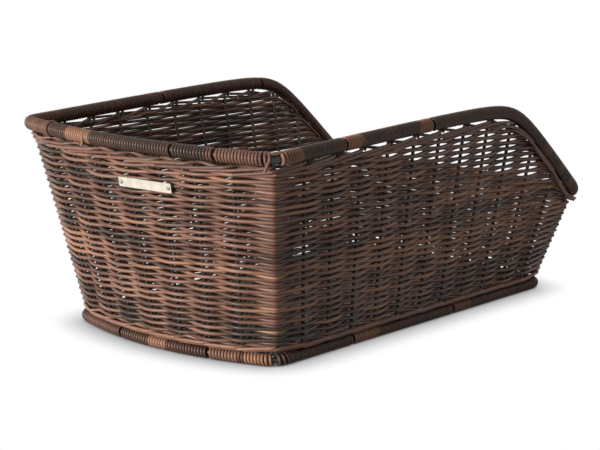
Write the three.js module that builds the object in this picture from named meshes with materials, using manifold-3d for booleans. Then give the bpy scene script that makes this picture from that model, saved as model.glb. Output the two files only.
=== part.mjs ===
// A rear-carrier bicycle basket: a welded steel wire frame, woven over with round plastic strand.
// Millimetres, +Z up. The tall bowed end faces -Y, the low saddle end faces +Y, and the rim drops
// to it along both sides. The woven walls and floor are solids of the weave's outer shape, and the
// walls are drawn in between the stakes, where the strands cross.
import * as THREE from 'three';
import { mergeVertices } from 'three/addons/utils/BufferGeometryUtils.js';
import Module from 'manifold-3d';

const wasm = await Module();
wasm.setup();

// Base hoop, between the centre lines of its rod
const BASE_WIDTH = 257;
const BASE_LENGTH = 405;
const BASE_REAR_BOW = 26;
const BASE_SADDLE_BOW = 14;

// Rim hoop, to the centre line of its rod; the overhangs are past the base hoop's corners
const SIDE_OVERHANG = 32;
const REAR_OVERHANG = 39;
const SADDLE_OVERHANG = 21;
const RIM_REAR_BOW = 23.5;
const RIM_SADDLE_BOW = 12;
const REAR_HEIGHT = 198;
const PEAK_HEIGHT = 208;
const LOW_HEIGHT = 104.5;
const PEAK_SETBACK = 111.5;
const PEAK_ROUNDING = 26;

// Diameters of the steel rods and of the plastic strands
const RIM_ROD = 7.4;
const BASE_ROD = 5.4;
const CORNER_POST = 5;
const STAKE = 3.5;
const STRAND = 3;
const WALE_STRAND = 3.6;

// Weave: bays between stakes, and the open strip that the stakes cross under the rim
const SIDE_BAYS = 12;
const END_BAYS = 8;
const RIM_GAP = 4;
const STAKE_BEND = 6;
const CORNER_RELIEF = 2;

// Gap between the two layers of floor wires, so that the holes round them stay apart
const FLOOR_WIRE_GAP = 0.9;

// Nameplate on the rear wall, and its rivets; offset and height are those of the plate's centre
const PLATE_WIDTH = 61.5;
const PLATE_HEIGHT = 9;
const PLATE_THICKNESS = 0.8;
const PLATE_CORNER = 1;
const PLATE_OFFSET = 23.5;
const PLATE_CENTRE_HEIGHT = 163.3;
const RIVET_HEAD = 4;
const RIVET_HEAD_HEIGHT = 0.9;
const RIVET_SHANK = 2.2;
const RIVET_GRIP = 6;
const RIVET_EDGE = 3;

// Gap kept between pieces that touch on the real basket
const CLEARANCE = 0.3;

// Facets: sides of round pieces and of wire holes, and steps in a bay, a bend and a plate's corner
const ROD_SIDES = 6;
const BINDING_SIDES = 8;
const WALE_SIDES = 6;
const RIVET_SIDES = 10;
const WIRE_HOLE_SIDES = 4;
const SIDE_BAY_STEPS = 2;
const END_BAY_STEPS = 1;
const WEAVE_STEPS = 4;
const HALF_BEND_STEPS = 2;
const STAKE_BEND_STEPS = 2;
const PLATE_CORNER_STEPS = 3;
const STRAIGHTNESS = 0.1;

const SIDES = ['rear', 'right', 'saddle', 'left'];
const BAYS = { rear: END_BAYS, right: SIDE_BAYS, saddle: END_BAYS, left: SIDE_BAYS };
const BAY_STEPS = { rear: END_BAY_STEPS, right: SIDE_BAY_STEPS, saddle: END_BAY_STEPS, left: SIDE_BAY_STEPS };
const UP = new THREE.Vector3(0, 0, 1);

// Radii and levels that follow from the sizes above
const rimBindingRadius = RIM_ROD / 2 + STRAND;
const baseBindingRadius = BASE_ROD / 2 + STRAND;
const weaveThickness = STAKE + 2 * STRAND;
const waleWidth = STAKE + 2 * WALE_STRAND;
const waleHeight = 2 * WALE_STRAND;
const waleLevel = 2 * baseBindingRadius + CLEARANCE + waleHeight / 2;
const wallFoot = waleLevel + waleHeight / 2 + CLEARANCE;
const crossLevel = baseBindingRadius + BASE_ROD / 2 + CLEARANCE + STAKE / 2;
const lengthLevel = crossLevel + STAKE + FLOOR_WIRE_GAP;
const floorBottom = crossLevel - STAKE / 2 - STRAND;
const floorTop = lengthLevel + STAKE / 2 + STRAND / 2;

const rimRear = -BASE_LENGTH / 2 - REAR_OVERHANG;
const rimSaddle = BASE_LENGTH / 2 + SADDLE_OVERHANG;

// Height of the side rims: a long nearly level stretch and a steep slope, blended at the peak.
function rimHeight(y) {
  const peak = rimSaddle - PEAK_SETBACK;
  const level = REAR_HEIGHT + (PEAK_HEIGHT - REAR_HEIGHT) * (y - rimRear) / (peak - rimRear);
  const slope = LOW_HEIGHT + (PEAK_HEIGHT - LOW_HEIGHT) * (rimSaddle - y) / PEAK_SETBACK;
  return (level + slope - Math.hypot(level - slope, PEAK_ROUNDING)) / 2;
}

// The tangent length of a corner bend that leaves the binding's inner side a small hollow.
function bendLength(bindingRadius) {
  return Math.SQRT2 * (bindingRadius / Math.cos(Math.PI / BINDING_SIDES) + CORNER_RELIEF);
}

const baseHoop = {
  half: BASE_WIDTH / 2,
  rear: -BASE_LENGTH / 2,
  saddle: BASE_LENGTH / 2,
  rearBow: BASE_REAR_BOW,
  saddleBow: BASE_SADDLE_BOW,
  height: () => baseBindingRadius,
  bend: bendLength(baseBindingRadius),
};
const rimHoop = {
  half: BASE_WIDTH / 2 + SIDE_OVERHANG,
  rear: rimRear,
  saddle: rimSaddle,
  rearBow: RIM_REAR_BOW,
  saddleBow: RIM_SADDLE_BOW,
  height: rimHeight,
  bend: bendLength(rimBindingRadius),
};

function sideAfter(side) {
  return SIDES[(SIDES.indexOf(side) + 1) % SIDES.length];
}

function sideBefore(side) {
  return SIDES[(SIDES.indexOf(side) + SIDES.length - 1) % SIDES.length];
}

// A point at a share of the way along one side of a hoop, as if its corners were square.
function edgePoint(hoop, side, share) {
  const across = 2 * share - 1;
  const bulge = 1 - across * across;
  const lerp = THREE.MathUtils.lerp;
  if (side === 'rear') {
    const bowed = hoop.rear - hoop.rearBow * bulge;
    return new THREE.Vector3(hoop.half * across, bowed, hoop.height(hoop.rear));
  }
  if (side === 'saddle') {
    const bowed = hoop.saddle + hoop.saddleBow * bulge;
    return new THREE.Vector3(-hoop.half * across, bowed, hoop.height(hoop.saddle));
  }
  const y = side === 'right' ? lerp(hoop.rear, hoop.saddle, share) : lerp(hoop.saddle, hoop.rear, share);
  return new THREE.Vector3(side === 'right' ? hoop.half : -hoop.half, y, hoop.height(y));
}

function edgeTangent(hoop, side, share) {
  const step = 1e-4;
  return edgePoint(hoop, side, share + step).sub(edgePoint(hoop, side, share - step)).normalize();
}

// The share of a side that its corner bends take up at each end.
function bendShare(hoop, side) {
  return hoop.bend / edgePoint(hoop, side, 0).distanceTo(edgePoint(hoop, side, 1));
}

// The bend from the end of one side into the next.
function cornerBend(hoop, side) {
  const next = sideAfter(side);
  return new THREE.QuadraticBezierCurve3(
    edgePoint(hoop, side, 1 - bendShare(hoop, side)),
    edgePoint(hoop, side, 1),
    edgePoint(hoop, next, bendShare(hoop, next)),
  );
}

function bendStation(bend, share) {
  return { point: bend.getPoint(share), tangent: bend.getTangent(share), bays: 0 };
}

// The stretch of one side between its corner bends. The stakes stand evenly along the whole side, and
// places are counted in bays; the bends take up less than the first and last half bay.
function spanStations(hoop, side, baySteps = BAY_STEPS[side]) {
  const margin = BAYS[side] * bendShare(hoop, side);
  const places = Array.from({ length: BAYS[side] * baySteps }, (_, i) => i / baySteps);
  const inner = places.filter((bays) => bays >= 0.5 && bays <= BAYS[side] - 0.5);
  return [margin, ...inner, BAYS[side] - margin].map((bays) => {
    const share = bays / BAYS[side];
    return { point: edgePoint(hoop, side, share), tangent: edgeTangent(hoop, side, share), bays };
  });
}

// A whole corner bend, from the end of one side to the start of the next.
function bendStations(hoop, side) {
  const bend = cornerBend(hoop, side);
  const steps = 2 * HALF_BEND_STEPS;
  return Array.from({ length: steps + 1 }, (_, i) => bendStation(bend, i / steps));
}

// One side with half of the bend at each end, so that neighbouring sides meet at the corner posts.
function sideStations(hoop, side, baySteps) {
  const before = bendStations(hoop, sideBefore(side)).slice(HALF_BEND_STEPS, -1);
  const after = bendStations(hoop, side).slice(1, HALF_BEND_STEPS + 1);
  return [...before, ...spanStations(hoop, side, baySteps), ...after];
}

// The whole hoop as an open loop, from one side of the butt weld at the low end round to the other.
function hoopStations(hoop) {
  const loop = SIDES.flatMap((side) => sideStations(hoop, side).slice(0, -1));
  const perSide = SIDES.map((side) => sideStations(hoop, side).length - 1);
  const weld = perSide[0] + perSide[1] + Math.floor(perSide[2] / 2);
  return [...loop.slice(weld), ...loop.slice(0, weld), loop[weld]];
}

// The horizontal direction out of the basket at a station; the sides run anticlockwise from above.
function outward(station) {
  return new THREE.Vector3().crossVectors(station.tangent, UP).normalize();
}

// Moves the two end stations inwards, to leave half of the gap to whatever meets them there.
function trimmed(stations) {
  const moved = ({ point, tangent }, by) => ({ point: point.clone().addScaledVector(tangent, by), tangent });
  const half = CLEARANCE / 2;
  return [moved(stations[0], half), ...stations.slice(1, -1), moved(stations.at(-1), -half)];
}

// Leaves out the stations that lie on a straight line between their neighbours.
function thinned(stations) {
  const kept = [stations[0]];
  for (let i = 1; i < stations.length - 1; i++) {
    const line = new THREE.Line3(kept.at(-1).point, stations[i + 1].point);
    const nearest = line.closestPointToPoint(stations[i].point, true, new THREE.Vector3());
    if (nearest.distanceTo(stations[i].point) > STRAIGHTNESS) kept.push(stations[i]);
  }
  kept.push(stations.at(-1));
  return kept;
}

// Stations at the corners of a wire, which has square ends.
function wireStations(path) {
  const run = (from, to) => path[to].clone().sub(path[from]).normalize();
  return path.map((point, i) => {
    const from = Math.min(i, path.length - 2);
    return { point, tangent: run(from, from + 1) };
  });
}

// Rounds the inner points of a path with short bends.
function bent(path, length) {
  const result = [path[0]];
  for (let i = 1; i < path.length - 1; i++) {
    const towards = (other) => path[i].clone().add(other.clone().sub(path[i]).setLength(length));
    const bend = new THREE.QuadraticBezierCurve3(towards(path[i - 1]), path[i], towards(path[i + 1]));
    result.push(...bend.getPoints(STAKE_BEND_STEPS));
  }
  result.push(path.at(-1));
  return result;
}

// A route through a list of stations: a tube swept along it has one ring at each, and ends square.
class Route extends THREE.Curve {
  constructor(stations) {
    super();
    this.stations = stations;
    this.steps = stations.length - 1;
  }

  getPoint(t, target = new THREE.Vector3()) {
    const place = t * this.steps;
    const index = Math.min(Math.floor(place), this.steps - 1);
    return target.lerpVectors(this.stations[index].point, this.stations[index + 1].point, place - index);
  }

  getTangent(t, target = new THREE.Vector3()) {
    const index = Math.round(t * this.steps);
    if (index === 0 || index === this.steps) return target.copy(this.stations[index].tangent);
    const run = (i) => this.stations[i + 1].point.clone().sub(this.stations[i].point).normalize();
    return target.addVectors(run(index - 1), run(index)).normalize();
  }

  // The stations count as evenly spaced, however long the runs between them are.
  getUtoTmapping(u) {
    return u;
  }
}

// An oval of straight sides around the given radii, with a flat side facing straight down on a level route.
function oval(downRadius, acrossRadius, sides) {
  const reach = 1 / Math.cos(Math.PI / sides);
  return Array.from({ length: sides }, (_, i) => {
    const angle = 2 * Math.PI * (i + 0.5) / sides;
    return new THREE.Vector2(downRadius * reach * Math.cos(angle), acrossRadius * reach * Math.sin(angle));
  });
}

// The same outline inside its circle, for solid rods.
function rodOutline(diameter) {
  const radius = diameter / 2 * Math.cos(Math.PI / ROD_SIDES);
  return oval(radius, radius, ROD_SIDES);
}

// The outline around a rod with its clearance, for what it passes through.
function holeOutline(diameter, sides) {
  const radius = diameter / 2 + CLEARANCE;
  return oval(radius, radius, sides);
}

function sweep(stations, outline, hole) {
  const route = new Route(stations);
  const shape = new THREE.Shape(outline);
  if (hole) shape.holes.push(new THREE.Path(hole));
  return new THREE.ExtrudeGeometry(shape, { steps: route.steps, extrudePath: route, bevelEnabled: false });
}

// A closed body through a row of four-cornered sections: outer foot, outer top, inner top, inner foot.
function loft(sections) {
  const triangles = [];
  const corners = sections[0].length;
  const last = (sections.length - 1) * corners;
  for (let i = 0; i < last; i += corners) {
    for (let j = 0; j < corners; j++) {
      const k = (j + 1) % corners;
      triangles.push(i + j, i + corners + j, i + corners + k, i + j, i + corners + k, i + k);
    }
  }
  triangles.push(0, 1, 2, 0, 2, 3, last, last + 2, last + 1, last, last + 3, last + 2);
  const geometry = new THREE.BufferGeometry().setFromPoints(sections.flat());
  geometry.setIndex(triangles);
  return geometry;
}

function asSolid(geometry) {
  const bare = geometry.clone();
  bare.deleteAttribute('normal');
  bare.deleteAttribute('uv');
  const merged = mergeVertices(bare);
  return new wasm.Manifold(new wasm.Mesh({
    numProp: 3,
    vertProperties: Float32Array.from(merged.attributes.position.array),
    triVerts: Uint32Array.from(merged.index.array),
  }));
}

// A geometry with the given geometries cut out of it.
function cut(geometry, tools) {
  let solid = asSolid(geometry);
  for (const tool of tools) solid = solid.subtract(asSolid(tool));
  const mesh = solid.getMesh();
  const result = new THREE.BufferGeometry();
  result.setAttribute('position', new THREE.BufferAttribute(mesh.vertProperties, 3));
  result.setIndex(new THREE.BufferAttribute(mesh.triVerts, 1));
  result.computeVertexNormals();
  return result;
}

const steel = new THREE.MeshStandardMaterial({ color: 0x2b2624, roughness: 0.5, metalness: 0.8 });
const strand = new THREE.MeshStandardMaterial({ color: 0x6b4130, roughness: 0.55, metalness: 0 });
const darkStrand = new THREE.MeshStandardMaterial({ color: 0x38291f, roughness: 0.5, metalness: 0 });
const waleStrand = new THREE.MeshStandardMaterial({ color: 0x8a5234, roughness: 0.5, metalness: 0 });
const plateMetal = new THREE.MeshStandardMaterial({ color: 0xd9d2c0, roughness: 0.4, metalness: 0.6 });
const rivetMetal = new THREE.MeshStandardMaterial({ color: 0x8f8676, roughness: 0.4, metalness: 0.8 });

function piece(name, geometry, material) {
  const mesh = new THREE.Mesh(geometry, material);
  mesh.name = name;
  return mesh;
}

// Half the weave's thickness at a place counted in bays: strands pass each stake outside and inside by
// turns, and the weave is one strand thick where they cross over, halfway to the next stake.
function weaveReach(bays) {
  return STRAND / 2 + (weaveThickness - STRAND) / 2 * Math.abs(Math.cos(Math.PI * bays));
}

// The wall lines of one side: where each base station's stake or weave runs up to the rim.
function wallLines(side, baySteps) {
  const base = sideStations(baseHoop, side, baySteps);
  const rim = sideStations(rimHoop, side, baySteps);
  return base.map((foot, i) => ({
    foot: foot.point,
    top: rim[i].point,
    out: outward(foot).add(outward(rim[i])).normalize(),
    level: Math.hypot(rim[i].tangent.x, rim[i].tangent.y),
    reach: weaveReach(foot.bays),
  })).map((line) => ({ ...line, along: new THREE.Vector3().crossVectors(UP, line.out) }));
}

// The point of a wall line at a height.
function lineAt(line, height) {
  const share = (height - line.foot.z) / (line.top.z - line.foot.z);
  return line.foot.clone().lerp(line.top, share);
}

// The wall line of a stake, counted from the start of its side.
function stakeLine(side, number) {
  return wallLines(side)[HALF_BEND_STEPS + number * BAY_STEPS[side]];
}

// A stake bent like a U: down one wall, across the floor and up the wall opposite.
function stakeStations(side, opposite, number, floorLevel) {
  const near = stakeLine(side, number);
  const far = stakeLine(opposite, BAYS[side] - number);
  const corners = [near.top, lineAt(near, floorLevel), lineAt(far, floorLevel), far.top];
  return wireStations(bent(corners, STAKE_BEND));
}

const stakes = [];
for (let number = 1; number < SIDE_BAYS; number++) {
  const name = `cross_stake_${String(number).padStart(2, '0')}`;
  const stations = stakeStations('right', 'left', number, crossLevel);
  stakes.push({ name, sides: ['right', 'left'], stations });
}
for (let number = 1; number < END_BAYS; number++) {
  const stations = stakeStations('rear', 'saddle', number, lengthLevel);
  stakes.push({ name: `length_stake_${number}`, sides: ['rear', 'saddle'], stations });
}
for (const stake of stakes) stake.hole = sweep(stake.stations, holeOutline(STAKE, WIRE_HOLE_SIDES));

// Corner posts stand between two sides, and are named after the corner.
const CORNER_NAMES = { rear: 'rear_right', right: 'saddle_right', saddle: 'saddle_left', left: 'rear_left' };
const posts = SIDES.map((side) => {
  const line = wallLines(side).at(-1);
  const stations = wireStations([line.foot, line.top]);
  const hole = sweep(stations, holeOutline(CORNER_POST, WIRE_HOLE_SIDES));
  return { side, name: `corner_post_${CORNER_NAMES[side]}`, stations, hole };
});

// The holes that the wires on one side, or at its two corners, need in what they pass through.
function holesAlong(side) {
  const stakeHoles = stakes.filter((stake) => stake.sides.includes(side)).map((stake) => stake.hole);
  const corners = [side, sideBefore(side)];
  const postHoles = posts.filter((post) => corners.includes(post.side)).map((post) => post.hole);
  return [...stakeHoles, ...postHoles];
}

function wireFrame() {
  const frame = new THREE.Group();
  const rim = trimmed(thinned(hoopStations(rimHoop)));
  const base = trimmed(thinned(hoopStations(baseHoop)));
  frame.add(piece('rim_rod', sweep(rim, rodOutline(RIM_ROD)), steel));
  frame.add(piece('base_rod', sweep(base, rodOutline(BASE_ROD)), steel));
  const welds = [sweep(rim, holeOutline(RIM_ROD, ROD_SIDES)), sweep(base, holeOutline(BASE_ROD, ROD_SIDES))];
  const weldedWire = (wire, diameter) => {
    const geometry = cut(sweep(wire.stations, rodOutline(diameter)), welds);
    frame.add(piece(wire.name, geometry, steel));
  };
  posts.forEach((post) => weldedWire(post, CORNER_POST));
  stakes.forEach((stake) => weldedWire(stake, STAKE));
  return frame;
}

// The outer and inner corners of a woven wall at one wall line.
function wallSection(line) {
  const fall = (rimBindingRadius + RIM_GAP) / line.level;
  const top = line.top.clone().add(line.foot.clone().sub(line.top).setLength(fall));
  const foot = lineAt(line, wallFoot);
  const half = line.out.clone().multiplyScalar(line.reach);
  return [foot.clone().add(half), top.clone().add(half), top.clone().sub(half), foot.clone().sub(half)];
}

// A side's wall lines without their gap to the next side's at the corner posts.
function trimmedLines(side) {
  const lines = wallLines(side, WEAVE_STEPS);
  const moved = (line, by) => {
    const step = line.along.clone().multiplyScalar(by);
    return { ...line, foot: line.foot.clone().add(step), top: line.top.clone().add(step) };
  };
  return [moved(lines[0], CLEARANCE / 2), ...lines.slice(1, -1), moved(lines.at(-1), -CLEARANCE / 2)];
}

function wallGeometry(side) {
  return loft(trimmedLines(side).map(wallSection));
}

function floorGeometry() {
  const inset = baseBindingRadius + CLEARANCE;
  const loop = SIDES.flatMap((side) => sideStations(baseHoop, side).slice(0, -1));
  const outline = loop.map((station) => station.point.clone().addScaledVector(outward(station), -inset));
  const shape = new THREE.Shape(outline.map((point) => new THREE.Vector2(point.x, point.y)));
  const geometry = new THREE.ExtrudeGeometry(shape, { depth: floorTop - floorBottom, bevelEnabled: false });
  return geometry.translate(0, 0, floorBottom);
}

function waleGeometry(side) {
  const stations = wallLines(side).map((line) => ({ point: lineAt(line, waleLevel), tangent: line.along }));
  return sweep(trimmed(thinned(stations)), oval(waleHeight / 2, waleWidth / 2, WALE_SIDES));
}

// A sleeve of wound strand round a stretch of one of the hoop rods.
function bindingGeometry(stations, radius, rod) {
  return sweep(trimmed(thinned(stations)), oval(radius, radius, BINDING_SIDES), holeOutline(rod, ROD_SIDES));
}

function bindings(label, hoop, radius, rod) {
  const group = new THREE.Group();
  for (const side of SIDES) {
    const span = bindingGeometry(spanStations(hoop, side), radius, rod);
    group.add(piece(`${label}_binding_${side}`, cut(span, holesAlong(side)), darkStrand));
    const corner = bindingGeometry(bendStations(hoop, side), radius, rod);
    const post = posts.find((candidate) => candidate.side === side);
    group.add(piece(`${label}_lashing_${CORNER_NAMES[side]}`, cut(corner, [post.hole]), darkStrand));
  }
  return group;
}

// The nameplate's place: flat against the bowed rear wall, leaning with it.
function platePlace() {
  const lines = wallLines('rear');
  const place = new THREE.Object3D();
  const nearest = lines.reduce((best, line) => {
    const miss = (candidate) => Math.abs(lineAt(candidate, PLATE_CENTRE_HEIGHT).x - PLATE_OFFSET);
    return miss(line) < miss(best) ? line : best;
  });
  const up = nearest.top.clone().sub(nearest.foot).normalize();
  const along = nearest.along;
  const out = new THREE.Vector3().crossVectors(along, up).normalize();
  const skin = lines.map(wallSection).flatMap(([foot, top]) => [foot, top]);
  const centre = lineAt(nearest, PLATE_CENTRE_HEIGHT);
  centre.addScaledVector(along, PLATE_OFFSET - centre.x);
  const proud = Math.max(...skin.map((point) => point.clone().sub(centre).dot(out)));
  place.position.copy(centre).addScaledVector(out, proud + CLEARANCE);
  place.matrix.makeBasis(along, new THREE.Vector3().crossVectors(out, along), out);
  place.quaternion.setFromRotationMatrix(place.matrix);
  place.updateMatrix();
  return place;
}

const rivetOffsets = [-1, 1].map((end) => end * (PLATE_WIDTH / 2 - RIVET_EDGE));

function plateGeometry() {
  const shape = new THREE.Shape();
  const right = PLATE_WIDTH / 2;
  const top = PLATE_HEIGHT / 2;
  shape.moveTo(-right + PLATE_CORNER, -top);
  shape.lineTo(right - PLATE_CORNER, -top);
  shape.absarc(right - PLATE_CORNER, -top + PLATE_CORNER, PLATE_CORNER, -Math.PI / 2, 0);
  shape.absarc(right - PLATE_CORNER, top - PLATE_CORNER, PLATE_CORNER, 0, Math.PI / 2);
  shape.absarc(-right + PLATE_CORNER, top - PLATE_CORNER, PLATE_CORNER, Math.PI / 2, Math.PI);
  shape.absarc(-right + PLATE_CORNER, -top + PLATE_CORNER, PLATE_CORNER, Math.PI, 1.5 * Math.PI);
  for (const x of rivetOffsets) {
    const hole = holeOutline(RIVET_SHANK, RIVET_SIDES).map((corner) => corner.add(new THREE.Vector2(x, 0)));
    shape.holes.push(new THREE.Path(hole));
  }
  const options = { depth: PLATE_THICKNESS, bevelEnabled: false, curveSegments: PLATE_CORNER_STEPS };
  return new THREE.ExtrudeGeometry(shape, options);
}

// A domed rivet whose shank goes through the plate and grips the weave behind it.
function rivetGeometry() {
  const seat = PLATE_THICKNESS + CLEARANCE;
  const profile = [
    new THREE.Vector2(0, -RIVET_GRIP),
    new THREE.Vector2(RIVET_SHANK / 2, -RIVET_GRIP),
    new THREE.Vector2(RIVET_SHANK / 2, seat),
    new THREE.Vector2(RIVET_HEAD / 2, seat),
    new THREE.Vector2(RIVET_HEAD / 2 * Math.SQRT1_2, seat + RIVET_HEAD_HEIGHT * Math.SQRT1_2),
    new THREE.Vector2(0, seat + RIVET_HEAD_HEIGHT),
  ];
  return new THREE.LatheGeometry(profile, RIVET_SIDES).rotateX(Math.PI / 2);
}

// The shank's hole in the wall behind the plate, long enough to leave the shank's end clear.
function rivetHole(place, x) {
  const path = [new THREE.Vector3(x, 0, -RIVET_GRIP - CLEARANCE), new THREE.Vector3(x, 0, PLATE_THICKNESS)];
  return sweep(wireStations(path), holeOutline(RIVET_SHANK, WIRE_HOLE_SIDES)).applyMatrix4(place.matrix);
}

function weave(place) {
  const group = new THREE.Group();
  for (const side of SIDES) {
    const holes = holesAlong(side);
    if (side === 'rear') holes.push(...rivetOffsets.map((x) => rivetHole(place, x)));
    group.add(piece(`woven_wall_${side}`, cut(wallGeometry(side), holes), strand));
    group.add(piece(`foot_wale_${side}`, cut(waleGeometry(side), holesAlong(side)), waleStrand));
  }
  group.add(piece('woven_floor', cut(floorGeometry(), stakes.map((stake) => stake.hole)), strand));
  return group;
}

function nameplate(place) {
  const group = new THREE.Group();
  group.position.copy(place.position);
  group.quaternion.copy(place.quaternion);
  group.add(piece('nameplate', plateGeometry(), plateMetal));
  rivetOffsets.forEach((x, i) => {
    const rivet = piece(`nameplate_rivet_${i + 1}`, rivetGeometry(), rivetMetal);
    rivet.position.x = x;
    group.add(rivet);
  });
  return group;
}

const place = platePlace();
const assembly = new THREE.Group();
assembly.add(wireFrame());
assembly.add(bindings('rim', rimHoop, rimBindingRadius, RIM_ROD));
assembly.add(bindings('base', baseHoop, baseBindingRadius, BASE_ROD));
assembly.add(weave(place));
assembly.add(nameplate(place));

// The origin is on the ground, under the middle of the whole basket.
const rearmost = rimRear - RIM_REAR_BOW - rimBindingRadius;
const foremost = rimSaddle + RIM_SADDLE_BOW + rimBindingRadius;
assembly.position.y = -(rearmost + foremost) / 2;

const basket = new THREE.Group();
basket.add(assembly);

export default basket;
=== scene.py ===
"""A rear-carrier bicycle basket: round plastic strand woven over a steel wire frame, with wound hoops.

Metres, +Z up. The tall bowed end faces -Y, the low saddle end faces +Y, and the rim drops to it along
both sides. Places round the basket are counted in uprights: stakes and corner posts, from the rear left
post round by the rear, the right side, the saddle end and the left side.
"""
import math

import bpy
import numpy as np
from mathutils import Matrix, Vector


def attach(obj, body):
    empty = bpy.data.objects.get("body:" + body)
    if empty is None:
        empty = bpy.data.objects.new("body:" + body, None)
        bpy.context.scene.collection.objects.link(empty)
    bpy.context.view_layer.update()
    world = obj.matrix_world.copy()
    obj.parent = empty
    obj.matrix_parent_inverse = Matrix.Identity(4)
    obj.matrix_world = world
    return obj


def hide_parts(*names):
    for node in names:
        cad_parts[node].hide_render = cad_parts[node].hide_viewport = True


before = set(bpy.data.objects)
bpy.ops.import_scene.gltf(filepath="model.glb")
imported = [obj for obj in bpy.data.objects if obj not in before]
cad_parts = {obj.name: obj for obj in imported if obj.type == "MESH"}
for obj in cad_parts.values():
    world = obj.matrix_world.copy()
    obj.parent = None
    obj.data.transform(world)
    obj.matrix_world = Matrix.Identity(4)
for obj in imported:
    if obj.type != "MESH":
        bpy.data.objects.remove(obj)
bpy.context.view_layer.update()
rng = np.random.default_rng(7)

MM = 0.001
UP = np.array([0.0, 0.0, 1.0])
ACROSS = np.array([1.0, 0.0, 0.0])

# Base hoop, between the centre lines of its rod
BASE_WIDTH = 257 * MM
BASE_LENGTH = 405 * MM
BASE_REAR_BOW = 26 * MM
BASE_SADDLE_BOW = 14 * MM

# Rim hoop, to the centre line of its rod; the overhangs are past the base hoop's corners
SIDE_OVERHANG = 32 * MM
REAR_OVERHANG = 39 * MM
SADDLE_OVERHANG = 21 * MM
RIM_REAR_BOW = 23.5 * MM
RIM_SADDLE_BOW = 12 * MM
REAR_HEIGHT = 198 * MM
PEAK_HEIGHT = 208 * MM
LOW_HEIGHT = 104.5 * MM
PEAK_SETBACK = 111.5 * MM
PEAK_ROUNDING = 26 * MM

# Diameters of the steel rods and of the plastic strands; woven rows are pressed into each other a little
RIM_ROD = 7.4 * MM
BASE_ROD = 5.4 * MM
CORNER_POST = 5 * MM
STAKE = 3.5 * MM
STRAND = 3 * MM
WOVEN_STRAND = 3.5 * MM
WALE_STRAND = 3.6 * MM

# Bays between uprights, the bends of stakes, hoops and weave, the gap between the floor's wires, the
# clearance between pieces, and the facets of the frame's bindings
SIDE_BAYS = 12
END_BAYS = 8
STAKE_BEND = 6 * MM
CORNER_RELIEF = 2 * MM
WEAVE_BEND = 3.5 * MM
FLOOR_WIRE_GAP = 0.9 * MM
CLEARANCE = 0.3 * MM
BINDING_FACETS = 8

# Rows of plain weave: how many up the tall end, how many of them go all round, how many more under the peaks
ROWS = 55
LOW_ROWS = 25
PEAK_ROWS = 1

# A row's strand: how far it strays, by what share its thickness varies, and over what lengths; by what share
# it is thicker on the long sides, the power that sharpens its swing there, and over how many bays both set
# in; over how many bays its ends go inside, and how deep, as a share of its reach
STRAY = 0.3 * MM
STRAY_LENGTH = 40 * MM
UNEVEN = 0.06
UNEVEN_LENGTH = 60 * MM
FULLER = 0.025
SIDE_SWING = 1.3
SIDE_FADE = 1.2
TUCK = 0.6
TUCK_DEPTH = 1 / 3

# What neighbouring rows share: how far they drift, and how much their tone changes in patches; how many
# patches go round the basket, and how many rows high they are
DRIFT = 0.7 * MM
PATCH_TONE = 0.26
PATCHES_ROUND = 24
PATCH_ROWS = 7

# Under the rim: from the winding's underside down to the border, at the tall end, on the level sides and on
# the slopes; the height of the border's band, how far below its top the rows end, and how far outside them
# it lies, on the tall part and on the slopes; its rise at the low corners; how far its ties stand from the
# stakes, and their tone
END_GAP = 0.5 * MM
SIDE_GAP = -0.8 * MM
SLOPE_GAP = -1.5 * MM
TALL_BAND = 9.5 * MM
SLOPE_BAND = 6 * MM
BAND_MARGIN = 4 * MM
SLOPE_MARGIN = 2 * MM
BAND_REACH = 2 * MM
SLOPE_REACH = 1 * MM
TIP_RISE = 3 * MM
TIE_FOOT = 5 * MM
TIE_TOP = 8 * MM
TIE_TONE = 0.12

# In bays: how far past its corners the low end counts, over what length it sets in, and the steps that even
# out a measure of the wall
LOW_END_PAST = 1
LOW_END_FADE = 1.5
EVENING = (-0.25, -0.12, 0, 0.12, 0.25)

# Corners: how far the posts lean inside the hoops' bends, how close the rows hug them, how much nearer every
# other row lies, as a share, and how far rows dip there
POST_SHIFT = 3 * MM
POST_HUG = 0.8 * MM
CORNER_STEP = 0.4
CORNER_DIP = 3 * MM

# Where tall rows meet the rim's slope: how soft their bend is, and how far down they run along it
ROW_BEND = 2.5 * MM
FOLLOWING = 6 * MM

# Wales: strands in a band; the share of a strand's course in which it changes sides, where its crest is, and
# its height along it, from -1 to 1; over what length and how far it sways, and how the foot's strands twist
WALE_STRANDS = 3
CHANGE = 0.055
CREST = 0.64
COURSE = ((0, -0.9), (CREST, 1), (0.7, 0.9), (0.96, -1), (1, -0.9))
SWAY_LENGTH = 55 * MM
FOOT_SWAY = 0.1 * MM
FOOT_TWIST = 1.2 * MM
BORDER_SWAY = 0.9 * MM

# Windings: from turn to turn, the gap where a length of strand ends, the angle at which turns start, and how
# loose a turn may be; where a tail starts over the rod, in degrees, and how far out and up an inlay lies
TURN_PITCH = 3.3 * MM
NOTCH = 3 * MM
FIRST_ANGLE = 0.75 * math.pi
SLACK = 0.12 * MM
TAIL_ANGLE = 120
INLAY_OUT = 0.4
INLAY_UP = 0.92

# Tones: places on the colour ramp, from 0 for charcoal to 1 for amber, and their limits
ORANGE = 0.92
BROWN = 0.66
GREY = 0.2
DARK = 0.1
TONE_LIMITS = (0.02, 0.98)
FLOOR_TONE = 0.5
FOOT_TONE = 0.76
BORDER_TONE = 0.58

# A row's tone, how much rows differ, and how much darker some are, counted from the foot
ROW_TONE = 0.56
ROW_CHANGE = 0.12
DARKER = 0.36
DARK_ROWS = (1, 2, 3, 5, 27, 28, 29, 45, 46, 50)

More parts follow.
